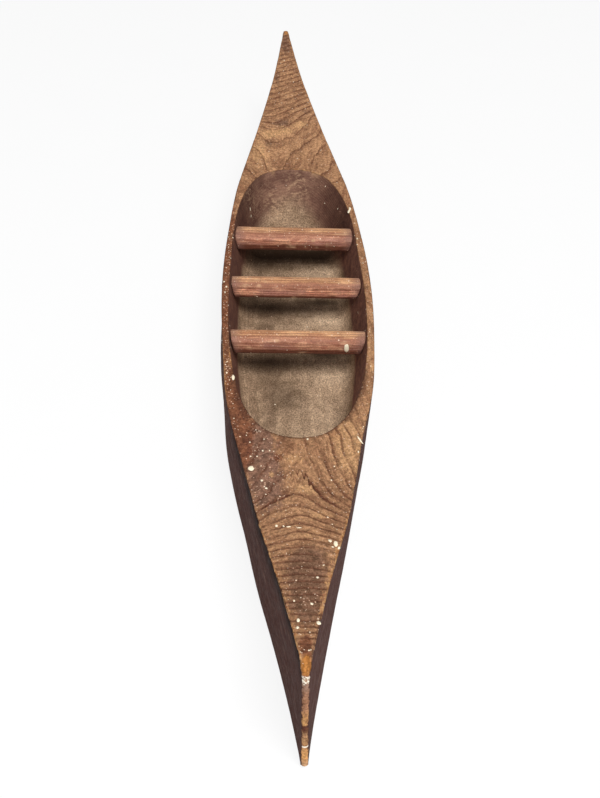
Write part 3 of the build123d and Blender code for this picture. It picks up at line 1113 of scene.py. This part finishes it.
def brad_material():
    m = Paint("dull_steel")
    rust = m.band(m.noise(0.7, 4, 0.65), 0.42, 0.62)
    colour = m.mix(rust, (0.3, 0.28, 0.26), (0.13, 0.06, 0.035))
    m.shader.inputs["Metallic"].default_value = 0.8
    return m.finish(colour, m.band(rust, 0, 1, 0.4, 0.8), m.noise(0.3, 3), 0.03)


def floor_material():
    """A nearly white floor that mostly glows for the camera, so that it keeps only a soft shadow."""
    m = Paint("studio_floor")
    m.shader.inputs["Roughness"].default_value = 0.9
    pale = m.mix(m.band(m.noise(40, 3), 0.3, 0.7), (0.9, 0.9, 0.9), (0.92, 0.92, 0.92))
    m.plug(m.shader.inputs["Base Color"], pale)
    glow = m.node("Emission", {"Color": (1.0, 1.0, 1.0), "Strength": 1.0})
    share = m.times(m.backdrop_rays(), 0.86)
    both = m.node("MixShader", {0: share, 1: m.shader.outputs[0], 2: glow.outputs[0]})
    m.plug(m.tree.nodes["Material Output"].inputs["Surface"], both.outputs[0])
    return m.material


hull = build_hull()
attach(hull, "root")
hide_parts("hull")
# Each bar's last number sets the painted light on its front
thwarts = [
    build_thwart("stern", 3, 0.2, 0.75),
    build_thwart("middle", 8, -0.04, 1.9),
    build_thwart("bow", 13, 0.1, 0.1),
]
specks = build_specks([hull] + thwarts)
hull.data.materials.append(hull_material())
thwart_wood = thwart_material()
for thwart in thwarts:
    thwart.data.materials.append(thwart_wood)
specks.data.materials.append(speck_material())
steel = brad_material()
for name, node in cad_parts.items():
    if name.endswith("_brad"):
        node.data.materials.clear()
        node.data.materials.append(steel)

# The camera looks down at 45 degrees from beyond the bow, a little turned on its axis
camera_data = bpy.data.cameras.new("camera")
camera_data.sensor_width = 36
camera_data.lens = 44.39
camera = add_object("camera", camera_data)
up = Vector((0.0246, 0.9988, 0.0415)).normalized().cross(SIGHT).normalized()
place = Matrix((SIGHT.cross(up), up, -SIGHT)).transposed().to_4x4()
place.translation = Vector((0.3880, -0.0209, 0.3543))
camera.matrix_world = place
bpy.context.scene.camera = camera

# The floor lies a hair under the keel, so that the two never share a plane
FLOOR_REACH = 8
UNDER = -0.05 * MM
corners = [(x * FLOOR_REACH, y * FLOOR_REACH, UNDER) for x, y in ((-1, -1), (1, -1), (1, 1), (-1, 1))]
floor_mesh = bpy.data.meshes.new("floor")
floor_mesh.from_pydata(corners, [], [(0, 1, 2, 3)])
floor_mesh.materials.append(floor_material())
ground = add_object("floor", floor_mesh)

# A weak, soft sky, which the camera sees as plain white
world = bpy.data.worlds.new("studio")
bpy.context.scene.world = world
world.use_nodes = True
sky = Nodes(world.node_tree)
soft = sky.tree.nodes["Background"]
sky.plug(soft.inputs["Color"], (0.97, 0.98, 1.0))
sky.plug(soft.inputs["Strength"], 0.2)
white = sky.node("Background", {"Color": (1.0, 1.0, 1.0), "Strength": 1.0})
choose = sky.node("MixShader", {0: sky.backdrop_rays(), 1: soft.outputs[0], 2: white.outputs[0]})
sky.plug(sky.tree.nodes["World Output"].inputs["Surface"], choose.outputs[0])

# A soft lamp high on the camera's side and a little to port, and a larger, weaker one lower down:
# (name, direction, size, energy)
LAMP_DISTANCE = 1.25
LAMPS = [("key", (0.46, 0.15, 0.94), 0.45, 12.9), ("fill", (0.75, 0.0, 0.66), 1.2, 5.4)]
for name, direction, size, energy in LAMPS:
    toward = Vector(direction).normalized()
    lamp = bpy.data.lights.new(name, "AREA")
    lamp.size = size
    lamp.energy = energy
    light = add_object(name, lamp)
    light.location = toward * LAMP_DISTANCE
    light.rotation_euler = (-toward).to_track_quat("-Z", "Y").to_euler()

bpy.context.scene.view_settings.view_transform = "Standard"
